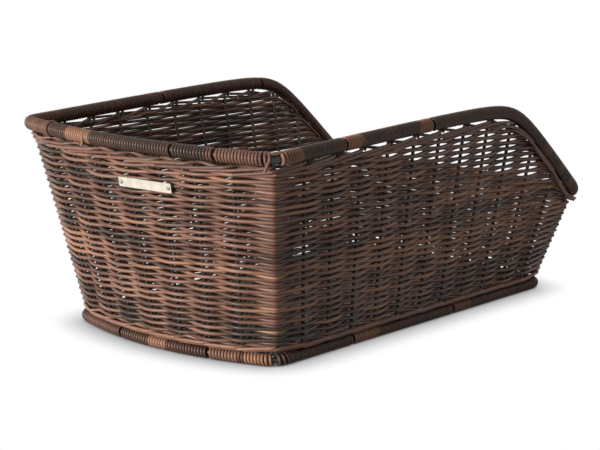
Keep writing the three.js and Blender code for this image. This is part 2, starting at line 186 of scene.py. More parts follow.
# Changes of tone along a strand as (over what length, least, most); in windings the length is in turns
LONG_STREAK = (150 * MM, -0.42, 0.38)
SHORT_STREAK = (45 * MM, -0.2, 0.2)
WALE_STREAK = (120 * MM, -0.22, 0.16)
FEW_TURNS = (1.5, -0.1, 0.1)
MANY_TURNS = (11, -0.12, 0.12)

# Facets and points
STRAND_SIDES = 6
WIRE_SIDES = 10
BAY_STEPS = 12
BEND_STEPS = 6
TURN_STEPS = 12
STAKE_BEND_STEPS = 5
POST_POINTS = 3
TIE_POINTS = 4
OVER_POINTS = 8
DOWN_POINTS = 5
INLAY_POINTS = 14
TURN_SAMPLES = 200
SIDE_SAMPLES = 100
DIRECTION_STEP = 0.04
SPARE_KNOTS = 3

# Texture map: its margin, and the size of a strand's end in it; the range in which a strand's grain starts
MAP_MARGIN = 0.002
END_MAP = (0.01, 0.3)
GRAIN_RANGE = 50

# A bend's share of a bay, for the hoops and for the weave
BEND_WEIGHT = 0.34
WEAVE_BEND_WEIGHT = 0.1

SIDES = ("rear", "right", "saddle", "left")
BAYS = {"rear": END_BAYS, "right": SIDE_BAYS, "saddle": END_BAYS, "left": SIDE_BAYS}
CORNERS = {"rear": "rear_right", "right": "saddle_right", "saddle": "saddle_left", "left": "rear_left"}
UPRIGHTS = sum(BAYS.values())
FIRST_UPRIGHT = {
    "rear": 0, "right": END_BAYS, "saddle": END_BAYS + SIDE_BAYS, "left": 2 * END_BAYS + SIDE_BAYS,
}

# Radii and levels that follow from the sizes above
rim_binding_radius = RIM_ROD / 2 + STRAND
base_binding_radius = BASE_ROD / 2 + STRAND
wale_level = 2 * base_binding_radius + CLEARANCE + WALE_STRAND
wall_foot = wale_level + WALE_STRAND + CLEARANCE
rod_top = base_binding_radius + BASE_ROD / 2 + CLEARANCE
cross_level = rod_top + STAKE / 2
length_level = cross_level + STAKE + FLOOR_WIRE_GAP
wall_top = REAR_HEIGHT - rim_binding_radius - END_GAP - BAND_MARGIN
row_pitch = (wall_top - wall_foot) / ROWS
slope_level = PEAK_SETBACK / math.hypot(PEAK_SETBACK, PEAK_HEIGHT - LOW_HEIGHT)
rim_rear = -BASE_LENGTH / 2 - REAR_OVERHANG
rim_saddle = BASE_LENGTH / 2 + SADDLE_OVERHANG
rearmost = rim_rear - RIM_REAR_BOW - rim_binding_radius
foremost = rim_saddle + RIM_SADDLE_BOW + rim_binding_radius
centring = np.array([0.0, -(rearmost + foremost) / 2, 0.0])


def lerp(a, b, share):
    return a + (b - a) * share


def smooth_step(x):
    x = np.clip(x, 0.0, 1.0)
    return x * x * (3.0 - 2.0 * x)


def unit(vectors):
    return vectors / np.linalg.norm(vectors, axis=-1, keepdims=True)


# The wire frame's lines

def rim_height(y):
    """Height of the side rims: a long nearly level stretch and a steep slope, blended at the peak."""
    peak = rim_saddle - PEAK_SETBACK
    level = REAR_HEIGHT + (PEAK_HEIGHT - REAR_HEIGHT) * (y - rim_rear) / (peak - rim_rear)
    slope = LOW_HEIGHT + (PEAK_HEIGHT - LOW_HEIGHT) * (rim_saddle - y) / PEAK_SETBACK
    return (level + slope - math.hypot(level - slope, PEAK_ROUNDING)) / 2


def hoop_bend(binding_radius):
    """The length of a hoop's corner bend on either side of the corner."""
    return math.sqrt(2) * (binding_radius / math.cos(math.pi / BINDING_FACETS) + CORNER_RELIEF)


def span_places(bays, inset):
    """Places between a side's corner bends, in bays; the uprights stand evenly along the whole side."""
    places = np.linspace(0, bays, bays * BAY_STEPS, endpoint=False)
    return np.interp(places, [0, 1, bays - 1, bays], [inset, 1, bays - 1, bays - inset])


class Hoop:
    """The line of one of the two steel hoops: four sides, two of them bowed, with a bend at each corner."""

    def __init__(self, half, rear, saddle, bows, height, bend):
        self.half = half
        self.rear = rear
        self.saddle = saddle
        self.rear_bow, self.saddle_bow = bows
        self.height = height
        self.bend = bend

    def edge(self, side, share):
        """A point at a share of the way along one side, as if the corners were square."""
        across = 2 * share - 1
        bulge = 1 - across * across
        if side == "rear":
            place = (self.half * across, self.rear - self.rear_bow * bulge, self.height(self.rear))
        elif side == "saddle":
            place = (-self.half * across, self.saddle + self.saddle_bow * bulge, self.height(self.saddle))
        elif side == "right":
            y = lerp(self.rear, self.saddle, share)
            place = (self.half, y, self.height(y))
        else:
            y = lerp(self.saddle, self.rear, share)
            place = (-self.half, y, self.height(y))
        return np.array(place) + centring

    def margin(self, side):
        """The share of a side that its corner bend takes up at each end."""
        return self.bend / np.linalg.norm(self.edge(side, 1) - self.edge(side, 0))

    def corner(self, side, share):
        """A point on the bend from one side into the next."""
        after = SIDES[(SIDES.index(side) + 1) % len(SIDES)]
        start = self.edge(side, 1 - self.margin(side))
        end = self.edge(after, self.margin(after))
        square = self.edge(side, 1)
        return lerp(lerp(start, square, share), lerp(square, end, share), share)

    def half_bend(self, side, start):
        """Half of the bend after a side, from a share of the way round it."""
        shares = np.linspace(start, start + 0.5, BEND_STEPS, endpoint=False)
        return [self.corner(side, share) for share in shares]

    def loop(self):
        """The whole hoop as a closed line of points, from the rear left post."""
        points = []
        for before, side in zip(SIDES[-1:] + SIDES, SIDES):
            bays = BAYS[side]
            span = [self.edge(side, place / bays) for place in span_places(bays, self.margin(side) * bays)]
            points += self.half_bend(before, 0.5) + span + self.half_bend(side, 0)
        return np.array(points)


def upright_counts(weight):
    """The places of a hoop's points, counted in uprights; weight is a bend's share of a bay."""
    counts = []
    for side in SIDES:
        bays = BAYS[side]
        bend = np.linspace(0, weight, BEND_STEPS, endpoint=False)
        places = np.concatenate([bend, span_places(bays, weight), bays - weight + bend])
        counts.append(FIRST_UPRIGHT[side] + places)
    return np.concatenate(counts)


def base_line(bend):
    ends = (BASE_REAR_BOW, BASE_SADDLE_BOW)
    return Hoop(BASE_WIDTH / 2, -BASE_LENGTH / 2, BASE_LENGTH / 2, ends, lambda y: base_binding_radius, bend)


def rim_line(bend):
    ends = (RIM_REAR_BOW, RIM_SADDLE_BOW)
    return Hoop(BASE_WIDTH / 2 + SIDE_OVERHANG, rim_rear, rim_saddle, ends, rim_height, bend)


def bay_of(side, share):
    """The upright count at a share of the way along a side."""
    return FIRST_UPRIGHT[side] + BAYS[side] * share


class Track:
    """A closed line that can be read at any upright count, with its direction."""

    def __init__(self, counts, points):
        self.counts = np.concatenate([counts, [UPRIGHTS]])
        self.points = np.concatenate([points, points[:1]])

    def at(self, count):
        place = np.mod(count, UPRIGHTS)
        return np.stack([np.interp(place, self.counts, self.points[:, i]) for i in range(3)], axis=-1)

    def direction(self, count):
        return unit(self.at(count + DIRECTION_STEP) - self.at(count - DIRECTION_STEP))


class Wall:
    """The slanting wall between the two hoops, ruled from the base hoop to the rim hoop."""

    def __init__(self, foot, top):
        self.foot = foot
        self.top = top

    def place(self, count, height):
        foot = self.foot.at(count)
        top = self.top.at(count)
        share = (height - foot[:, 2]) / (top[:, 2] - foot[:, 2])
        return foot + (top - foot) * share[:, None]

    def outward(self, count):
        """The direction square out of the wall."""
        along = self.foot.direction(count) + self.top.direction(count)
        along[:, 2] = 0
        up = unit(self.top.at(count) - self.foot.at(count))
        out = np.cross(unit(along), UP)
        return unit(out - up * np.sum(out * up, axis=1, keepdims=True))

    def rim_level(self, count):
        """How level the rim runs: 1 on the level, the cosine of its slope elsewhere."""
        return np.linalg.norm(self.top.direction(count)[:, :2], axis=1)


def wall_between(base, rim, weight):
    counts = upright_counts(weight)
    return Wall(Track(counts, base.loop()), Track(counts, rim.loop()))


# The weave turns the corners more sharply than the hoops do
base_hoop = base_line(hoop_bend(base_binding_radius))
rim_hoop = rim_line(hoop_bend(rim_binding_radius))
frame_wall = wall_between(base_hoop, rim_hoop, BEND_WEIGHT)
wall = wall_between(base_line(WEAVE_BEND), rim_line(WEAVE_BEND), WEAVE_BEND_WEIGHT)


# Strands as meshes

def wander(length, spacing, low, high):
    """Smooth random values along a strand: a function of the distance along it."""
    values = rng.uniform(low, high, math.ceil(length / spacing) + SPARE_KNOTS)

    def at(distance):
        place = distance / spacing
        index = place.astype(int)
        return lerp(values[index], values[index + 1], smooth_step(place - index))

    return at


def distances(path):
    steps = np.linalg.norm(np.diff(path, axis=0), axis=1)
    return np.concatenate([[0.0], np.cumsum(steps)])


def add_strand(shares, path, facing, radius, tone, loop=False):
    """A strand whose stretches go to several collections, with unbroken shading where they meet."""
    tangent = np.gradient(path, axis=0)
    if loop:
        tangent[0] = tangent[-1] = path[1] - path[-2]
    tangent = unit(tangent)
    side = unit(np.cross(tangent, facing))
    front = np.cross(side, tangent)
    along = distances(path) + rng.uniform(0, GRAIN_RANGE)
    radius = np.broadcast_to(radius, len(path))
    tone = np.broadcast_to(tone, len(path))
    for strands, part in shares:
        normal = strands.turn[:, :1] * front[part, None] + strands.turn[:, 1:] * side[part, None]
        strands.tubes.append({
            "points": path[part, None] + normal * radius[part, None, None],
            "normals": normal,
            "along": along[part],
            "tone": tone[part],
        })


def tube_faces(rings, sides):
    """The faces of a tube, as corners: the four-sided ones along it, and the two ends."""
    ring = np.arange(rings - 1)[:, None] * sides
    here = np.arange(sides)
    after = (here + 1) % sides
    quads = np.stack([ring + here, ring + after, ring + sides + after, ring + sides + here], axis=-1)
    return quads, (here[::-1], (rings - 1) * sides + here)


def tube_map(length, sides, strip, row):
    """The places of a tube's four-sided faces in the texture map, row by row, and the next free row."""
    rows = np.floor(length[:-1] / strip).astype(int)
    u0 = (length[:-1] - rows * strip) / strip
    u1 = (length[1:] - rows * strip) / strip
    v0 = np.arange(sides) / sides
    v1 = v0 + 1 / sides
    u = np.stack([u0, u0, u1, u1], axis=-1)[:, None, :] + np.zeros((1, sides, 1))
    v = np.stack([v0, v1, v1, v0], axis=-1)[None, :, :] + (row + rows)[:, None, None]
    return np.stack([u, v], axis=-1).reshape(-1, 2), row + int(rows[-1]) + 1


class Strands:
    """Collects round strands, each a closed tube along a path, and makes one mesh of them."""

    def __init__(self, sides=STRAND_SIDES):
        angle = np.linspace(0, 2 * math.pi, sides, endpoint=False)
        self.turn = np.stack([np.cos(angle), np.sin(angle)], axis=1)
        self.sides = sides
        self.tubes = []

    def add(self, path, facing, radius, tone, loop=False):
        """A strand along a path; facing is the way one of its edges looks, tone its place on the ramp."""
        if loop:
            path = np.concatenate([path, path[:1]])
        add_strand([(self, slice(0, len(path)))], path, facing, radius, tone, loop)

    def strip_length(self):
        """The length of strand that fills one row of the texture map."""
        area = 0.0
        for tube in self.tubes:
            girth = np.linalg.norm(tube["points"][0, 0] - tube["points"][0, 1]) * self.sides
            area += girth * (tube["along"][-1] - tube["along"][0])
        return math.sqrt(area)

    def joined(self, key):
        return np.concatenate([tube[key] for tube in self.tubes])

    def grain(self):
        """Places in the strands' own grain: along them, and across their section."""
        along = self.joined("along")
        grain = np.zeros((len(along), self.sides, 3))
        grain[..., 0] = along[:, None]
        grain[..., 1:] = self.turn * STRAND / 2
        return grain

    def build(self, name, material, slot, *nodes):
        """Makes the object, closes the strands' ends, and stands it in for its CAD nodes."""
        corners, totals, maps = [], [], []
        strip = self.strip_length()
        offset = row = 0
        for tube in self.tubes:
            rings = len(tube["along"])
            quads, ends = tube_faces(rings, self.sides)
            side_map, row = tube_map(tube["along"] - tube["along"][0], self.sides, strip, row)
            corners.append((quads + offset).ravel())
            totals.append(np.full((rings - 1) * self.sides, 4))
            maps.append(side_map)
            for end in ends:
                corners.append(end + offset)
                totals.append(np.array([self.sides]))
                maps.append([0.0, row - 0.5] + self.turn[end % self.sides] * END_MAP)
            offset += rings * self.sides
        mesh = bpy.data.meshes.new(name)
        points = self.joined("points").reshape(-1, 3)
        fill_mesh(mesh, points, np.concatenate(corners), np.concatenate(totals))
        spots = np.concatenate(maps)
        spots = np.clip(spots / [max(spots[:, 0].max(), 1.0), row], 0, 1)
        layer = mesh.uv_layers.new(name="OFBake")
        layer.uv.foreach_set("vector", (MAP_MARGIN + (1 - 2 * MAP_MARGIN) * spots).ravel())
        tones = np.repeat(self.joined("tone"), self.sides)
        mesh.attributes.new("tone", "FLOAT", "POINT").data.foreach_set("value", tones)
        grain = self.grain().ravel()
        mesh.attributes.new("grain", "FLOAT_VECTOR", "POINT").data.foreach_set("vector", grain)
        mesh.normals_split_custom_set_from_vertices(self.joined("normals").reshape(-1, 3))
        add_piece(name, mesh, material, slot, *nodes)


def fill_mesh(mesh, points, corners, totals):
    starts = np.concatenate([[0], np.cumsum(totals)[:-1]])
    mesh.vertices.add(len(points))
    mesh.vertices.foreach_set("co", points.ravel())
    mesh.loops.add(len(corners))
    mesh.loops.foreach_set("vertex_index", corners)
    mesh.polygons.add(len(totals))
    mesh.polygons.foreach_set("loop_start", starts)
    mesh.polygons.foreach_set("loop_total", totals)
    mesh.polygons.foreach_set("use_smooth", np.ones(len(totals), dtype=bool))
    mesh.update(calc_edges=True)


def new_object(name, data):
    thing = bpy.data.objects.new(name, data)
    bpy.context.scene.collection.objects.link(thing)
    return thing


def add_piece(name, mesh, material, slot, *nodes):
    piece = new_object(name, mesh)
    mesh.materials.append(material)
    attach(piece, "root")
    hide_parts(*nodes)


# Materials

class NodeTree:
    """The nodes of a material or of the world, with the kinds that are used here."""

    def __init__(self, owner):
        owner.use_nodes = True
        self.nodes = owner.node_tree.nodes
        self.link = owner.node_tree.links.new

    def node(self, kind, inputs, output):
        """One output of a new node, whose inputs are set to values or linked to other outputs."""
        node = self.nodes.new("ShaderNode" + kind)
        for name, value in inputs.items():
            if isinstance(value, bpy.types.NodeSocket):
                self.link(value, node.inputs[name])
            else:
                node.inputs[name].default_value = value
        return node.outputs[output]

    def math(self, operation, a, b):
        result = self.node("Math", {0: a, 1: b}, "Value")
        result.node.operation = operation
        return result

    def map_range(self, value, low, high):
        return self.node("MapRange", {"Value": value, "To Min": low, "To Max": high}, "Result")


class Look(NodeTree):
    """A material whose colour, roughness and bumps follow patterns of noise."""

    def __init__(self, name):
        self.material = bpy.data.materials.new(name)
        super().__init__(self.material)
        self.shader = self.nodes["Principled BSDF"]

    def attribute(self, name, output):
        result = self.node("Attribute", {}, output)
        result.node.attribute_name = name
        return result

    def place(self):
        return self.node("TexCoord", {}, "Object")

    def scaled(self, vector, factors):
        result = self.node("VectorMath", {0: vector, 1: factors}, "Vector")
        result.node.operation = "MULTIPLY"
        return result

    def noise(self, vector, scale, detail):
        return self.node("TexNoise", {"Vector": vector, "Scale": scale, "Detail": detail}, "Fac")

    def colour(self, value, stops):
        node = self.nodes.new("ShaderNodeValToRGB")
        elements = node.color_ramp.elements
        while len(elements) < len(stops):
            elements.new(0.5)
        for element, (position, colour) in zip(elements, stops):
            element.position = position
            element.color = (*colour, 1.0)
        self.link(value, node.inputs["Fac"])
        self.link(node.outputs["Color"], self.shader.inputs["Base Color"])

    def roughness(self, value, low, high):
        self.link(self.map_range(value, low, high), self.shader.inputs["Roughness"])

    def bump(self, height, strength, depth):
        normal = self.node("Bump", {"Height": height, "Strength": strength, "Distance": depth}, "Normal")
        self.link(normal, self.shader.inputs["Normal"])


CHARCOAL = (0.046, 0.031, 0.023)
UMBER = (0.125, 0.058, 0.037)
RUSSET = (0.238, 0.121, 0.081)
AMBER = (0.340, 0.171, 0.096)

# Ramps as (position, colour), and how the grain's streaks are drawn out, along a strand and across it
STRAND_RAMP = ((0.0, CHARCOAL), (0.38, UMBER), (0.7, RUSSET), (1.0, AMBER))
STEEL_RAMP = ((0.3, (0.012, 0.010, 0.009)), (0.75, (0.034, 0.027, 0.023)))
PLATE_RAMP = ((0.25, (0.48, 0.43, 0.35)), (0.7, (0.67, 0.62, 0.52)))
RIVET_RAMP = ((0.3, (0.22, 0.19, 0.15)), (0.7, (0.42, 0.37, 0.3)))
STREAKED = (0.12, 1.0, 1.0)
SATIN = 0.3


def strand_material(name):
    """Extruded strand: brown and charcoal drawn out in streaks along it, with a satin skin."""
    look = Look(name)
    grain = look.attribute("grain", "Vector")
    streaks = look.noise(look.scaled(grain, STREAKED), scale=900.0, detail=3.0)
    blotches = look.noise(grain, scale=90.0, detail=2.0)
    mixed = look.math("ADD", look.map_range(streaks, low=-0.22, high=0.22), look.attribute("tone", "Fac"))
    mixed = look.math("ADD", mixed, look.map_range(blotches, low=-0.16, high=0.16))
    look.colour(mixed, STRAND_RAMP)
    look.shader.inputs["Specular IOR Level"].default_value = SATIN
    look.roughness(streaks, low=0.3, high=0.5)
    look.bump(streaks, strength=0.25, depth=0.2 * MM)
    return look.material


def steel_material():
    """Wire with a dark coating, thin and slightly rough."""
    look = Look("coated_steel")
    blotches = look.noise(look.place(), scale=260.0, detail=4.0)
    look.colour(blotches, STEEL_RAMP)
    look.roughness(blotches, low=0.38, high=0.6)
    look.bump(blotches, strength=0.2, depth=0.1 * MM)
    return look.material


def plate_material():
    """Cream enamel on thin metal, a little dulled in patches."""
    look = Look("cream_plate")
    dulled = look.noise(look.place(), scale=120.0, detail=5.0)
    specks = look.noise(look.place(), scale=1500.0, detail=2.0)
    look.colour(dulled, PLATE_RAMP)
    look.roughness(dulled, low=0.32, high=0.5)
    look.bump(specks, strength=0.1, depth=0.05 * MM)
    return look.material


def rivet_material():
    """Dull bare aluminium."""
    look = Look("dull_rivet")
    look.shader.inputs["Metallic"].default_value = 1.0
    scuffs = look.noise(look.place(), scale=900.0, detail=4.0)
    look.colour(scuffs, RIVET_RAMP)
    look.roughness(scuffs, low=0.3, high=0.55)
    return look.material


weave_look = strand_material("weave_strand")
wale_look = strand_material("wale_strand")
binding_look = strand_material("binding_strand")
steel_look = steel_material()
plate_look = plate_material()
rivet_look = rivet_material()


# Woven rows of the walls

walls = {side: Strands() for side in SIDES}


def side_shares(places, collections):
    """Cuts a run of upright counts at the corner posts, and gives each stretch to its side's collection."""
    sides = np.digitize(np.mod(places, UPRIGHTS), [FIRST_UPRIGHT[side] for side in SIDES]) - 1
    cuts = np.flatnonzero(np.diff(sides)) + 1
    starts = np.concatenate([[0], cuts])
    ends = np.concatenate([cuts + 1, [len(places)]])
    return [(collections[SIDES[sides[i]]], slice(i, j)) for i, j in zip(starts, ends) if j - i > 1]


def post_distance(places):
    """How far the nearest corner post is, in bays."""
    posts = np.array(list(FIRST_UPRIGHT.values()))
    away = np.mod(places[:, None] - posts + UPRIGHTS / 2, UPRIGHTS) - UPRIGHTS / 2
    return np.abs(away).min(axis=1)


def near_post(places):
    """1 at a corner post, falling evenly to 0 a bay away."""
    return 1 - np.minimum(post_distance(places), 1)


def along_side(side, places, past, fade):
    """1 along a side, falling to 0 at some bays past its corners."""
    half = BAYS[side] / 2
    middle = FIRST_UPRIGHT[side] + half
    return smooth_step((half + past - np.abs(np.mod(places, UPRIGHTS) - middle)) / fade)


def along_sides(places):
    return along_side("right", places, 0, SIDE_FADE) + along_side("left", places, 0, SIDE_FADE)


def along_low_end(places):
    return along_side("saddle", places, LOW_END_PAST, LOW_END_FADE)


def strand_reach(places):
    """How far a strand's centre lies from the uprights' middle, clear of the stakes and the wider posts."""
    at_post = (CORNER_POST + WOVEN_STRAND) / 2 - POST_HUG
    return lerp((STAKE + WOVEN_STRAND) / 2, at_post, smooth_step(near_post(places)))


def post_inset(places):
    """How far the corner posts stand inside the weave's sharper corner."""
    inset = math.sqrt(2) / 4 * (hoop_bend(rim_binding_radius) - WEAVE_BEND) + POST_SHIFT
    return inset * near_post(places)


def side_of_uprights(places, row):
    """1 where a row's strand is outside an upright and -1 inside; all rows go outside the corner posts."""
    swing = np.cos(math.pi * (places + row))
    swing = np.sign(swing) * np.abs(swing) ** lerp(1, SIDE_SWING, along_sides(places))
    at_post = 1 - CORNER_STEP * (row % 2)
    at_stake = 1 if row % 2 else -1
    near = near_post(places)
    return np.where(near > 0, lerp(at_stake, at_post, (1 - np.cos(math.pi * near)) / 2), swing)


def corner_dip(places, heights):
    """How far rows dip at the corner posts, most half way up the wall."""
    share = (heights - wall_foot) / (wall_top - wall_foot)
    return CORNER_DIP * near_post(places) * np.sin(math.pi * np.clip(share, 0, 1))


def strand_tones(length, base):
    """Colour along one strand: long brown stretches with charcoal ones between them."""
    slow = wander(length, *LONG_STREAK)
    quick = wander(length, *SHORT_STREAK)
    return lambda distance: np.clip(base + slow(distance) + quick(distance), *TONE_LIMITS)


def shared_by_rows(size):
    """Smooth random values over the weave: a function of the places along a row and the row."""
    values = rng.uniform(-size, size, (ROWS // PATCH_ROWS + 2, PATCHES_ROUND))

    def at(places, row):
        knot, level = divmod(row / PATCH_ROWS, 1)
        round_row = lerp(values[int(knot)], values[int(knot) + 1], smooth_step(level))
        spot = np.mod(places, UPRIGHTS) / UPRIGHTS * PATCHES_ROUND
        index = spot.astype(int) % PATCHES_ROUND
        after = (index + 1) % PATCHES_ROUND
        return lerp(round_row[index], round_row[after], smooth_step(spot - np.floor(spot)))

    return at


drift = shared_by_rows(DRIFT)
patch_tone = shared_by_rows(PATCH_TONE)


def woven_strand(places, heights, row, base_tone, inside=0.0):
    """One row's strand: outside one stake and inside the next, the other way round than the row below."""
    clear = strand_reach(places)
    reach = clear * side_of_uprights(places, row)
    reach = lerp(reach, -clear * TUCK_DEPTH, inside) - post_inset(places)
    length = distances(wall.place(places, heights))
    sway = wander(length[-1], STRAY_LENGTH, -STRAY, STRAY)
    out = wall.outward(places)
    heights = heights + drift(places, row) + sway(length) - corner_dip(places, heights)
    path = wall.place(places, heights) + out * reach[:, None]
    tone = strand_tones(length[-1], base_tone)(length) + patch_tone(places, row)
    uneven = wander(length[-1], UNEVEN_LENGTH, -UNEVEN, UNEVEN)
    radius = WOVEN_STRAND / 2 * (1 + uneven(length) + FULLER * along_sides(places))
    add_strand(side_shares(places, walls), path, out, radius, np.clip(tone, *TONE_LIMITS))


def row_height(row):
    return wall_foot + row_pitch * (row + 0.5)


def row_base_tone(row):
    darker = DARKER if row in DARK_ROWS else 0.0
    return ROW_TONE - darker + rng.uniform(-ROW_CHANGE, ROW_CHANGE)


def even_places(start, end):
    """Places a step apart, with both ends."""
    return np.arange(start, end + 0.5 / BAY_STEPS, 1 / BAY_STEPS)


def weave_places(start, end):
    """Places along a row, closer together at the corner posts."""
    places = even_places(start, end)
    between = (places[:-1] + places[1:]) / 2
    return np.sort(np.concatenate([places, between[post_distance(between) < 2 / BAY_STEPS]]))


def low_rows():
    """Rows that go all round, level with the base."""
    places = weave_places(0, UPRIGHTS)
    for row in range(LOW_ROWS):
        heights = np.full_like(places, row_height(row))
        woven_strand(places, heights, row, row_base_tone(row))


def evened(measure, places):
    """A measure of the wall, evened out over half a bay."""
    return np.mean([measure(places + step) for step in EVENING], axis=0)


def rim_level(places):
    return evened(wall.rim_level, places)


def steepness(places):
    """0 where the rim is level, 1 on its slope."""
    return smooth_step((1 - rim_level(places)) / (1 - slope_level))


def rim_gap(places):
    """From the winding's underside down to the border's top."""
    at_end = lerp(END_GAP, SLOPE_GAP, along_low_end(places))
    return lerp(at_end, lerp(SIDE_GAP, SLOPE_GAP, steepness(places)), along_sides(places))


def border_band(places):
    """The height of the border's band of strands: less on the slopes and at the low end."""
    return lerp(TALL_BAND, SLOPE_BAND, np.maximum(along_low_end(places), steepness(places)))


def border_level(places):
    """The middle of the border's band, which runs along under the rim."""

    def below(spots):
        depth = rim_binding_radius + rim_gap(spots) + border_band(spots) / 2
        return wall.top.at(spots)[:, 2] - depth / wall.rim_level(spots)

    return evened(below, places) + TIP_RISE * along_low_end(places) * near_post(places)


def tall_row(row, places):
    """A tall row's heights, bent down along the slope, and how far it is past its end behind the border.

    On the slope every other row ends a strand lower.
    """
    level = row_height(row)
    steep = steepness(places)
    margin = lerp(BAND_MARGIN, SLOPE_MARGIN, steep)
    edge = border_level(places) + (border_band(places) / 2 - margin) / rim_level(places)
    if row % 2:
        edge = edge - WOVEN_STRAND * steep / rim_level(places)
    over = level - edge
    heights = level - steep * ROW_BEND * np.logaddexp(0, over / ROW_BEND)
    return heights, over - FOLLOWING * steep


def tucked_ends(places):
    """1 at both ends of a run of places, where a strand goes inside."""
    ends = np.minimum(places - places[0], places[-1] - places)
    return 1 - smooth_step(ends / TUCK)


def tall_rows():
    """Rows of the tall part: along the left side, the rear and the right side, ending behind the border."""
    places = weave_places(-SIDE_BAYS, END_BAYS + SIDE_BAYS)
    for row in range(LOW_ROWS, ROWS + PEAK_ROWS):
        heights, over = tall_row(row, places)
        kept = np.flatnonzero(over < 0)
        for run in np.split(kept, np.flatnonzero(np.diff(kept) > 1) + 1):
            if len(run) > 2 * BAY_STEPS:
                woven_strand(places[run], heights[run], row, row_base_tone(row), tucked_ends(places[run]))


# Wales: three strands, each outside two uprights and inside one

def rising(turn):
    """A waled strand's height in its band, from -1 to 1: rising outside, and back down inside."""
    return np.interp(turn, *zip(*COURSE))


def outside_share(turn):
    """1 where a waled strand is outside the uprights, and 0 inside."""
    leave = smooth_step((turn - 1 + 1 / WALE_STRANDS + CHANGE) / (2 * CHANGE))
    enter = smooth_step((turn - 1 + CHANGE) / (2 * CHANGE)) + 1 - smooth_step((turn + CHANGE) / (2 * CHANGE))
    return np.clip(1 - leave + enter, 0, 1)


def wale(collections, level, strand, base_tone, sway_size, lift, beyond):
    """A band of strands that lead into each other after each round.

    Lift moves them about in the band's height, and beyond moves them outside their usual place.
    """
    stretch, darkest, lightest = WALE_STREAK
    for number in range(WALE_STRANDS):
        start = number * UPRIGHTS + 0.5
        places = even_places(start, start + UPRIGHTS)
        heights = level(places)
        length = distances(wall.place(places, heights))
        tones = wander(length[-1], stretch, base_tone + darkest, base_tone + lightest)
        sway = wander(length[-1], SWAY_LENGTH, -sway_size, sway_size)
        turn = np.mod(places / WALE_STRANDS, 1.0)
        clear = strand_reach(places) + (strand - WOVEN_STRAND) / 2
        reach = lerp(-clear, clear + beyond(places, turn), outside_share(turn)) - post_inset(places)
        out = wall.outward(places)
        path = wall.place(places, heights + lift(places, turn) + sway(length)) + out * reach[:, None]
        add_strand(side_shares(places, collections), path, out, strand / 2, tones(length))


def foot_level(places):
    return np.full_like(places, wale_level)


def foot_lift(places, turn):
    return WALE_STRAND / 2 * rising(turn)


def foot_reach(places, turn):
    """A strand of the foot wale starts close behind the one before it, and ends over the next."""
    return FOOT_TWIST * (2 * np.clip(turn / CREST, 0, 1) - 1)


def border_lift(places, turn):
    return (border_band(places) - STRAND) / 2 * rising(turn)


def border_reach(places, turn):
    """The border lies outside the rows, and at the low end's corners it keeps out to the rim's corner."""
    outside = lerp(BAND_REACH, SLOPE_REACH, steepness(places))
    return outside + post_inset(places) * along_low_end(places)


def ties():
    """Short dark strands beside the stakes of both sides, from the border up to the rim's winding."""
    for side in ("right", "left"):
        ahead = 1 if side == "right" else -1
        for number in range(1, SIDE_BAYS):
            place = float(bay_of(side, number / SIDE_BAYS))
            bay = np.linalg.norm(np.diff(wall.top.at(np.array([place - 0.5, place + 0.5])), axis=0))
            places = place + ahead * np.linspace(TIE_FOOT, TIE_TOP, TIE_POINTS) / bay
            rim = wall.top.at(places)[:, 2] - (rim_binding_radius - STRAND) / wall.rim_level(places)
            heights = lerp(border_level(places), rim, np.linspace(0, 1, TIE_POINTS))
            walls[side].add(wall.place(places, heights), wall.outward(places), STRAND / 2, TIE_TONE)


foot_wales = {side: Strands() for side in SIDES}
wale(foot_wales, foot_level, WALE_STRAND, FOOT_TONE, FOOT_SWAY, foot_lift, foot_reach)
wale(walls, border_level, STRAND, BORDER_TONE, BORDER_SWAY, border_lift, border_reach)
low_rows()
tall_rows()
ties()

for side in SIDES:
    walls[side].build(f"weave_{side}", weave_look, "weave_strand", f"woven_wall_{side}")
    foot_wales[side].build(f"wale_{side}", wale_look, "wale_strand", f"foot_wale_{side}")


# Windings of the hoops

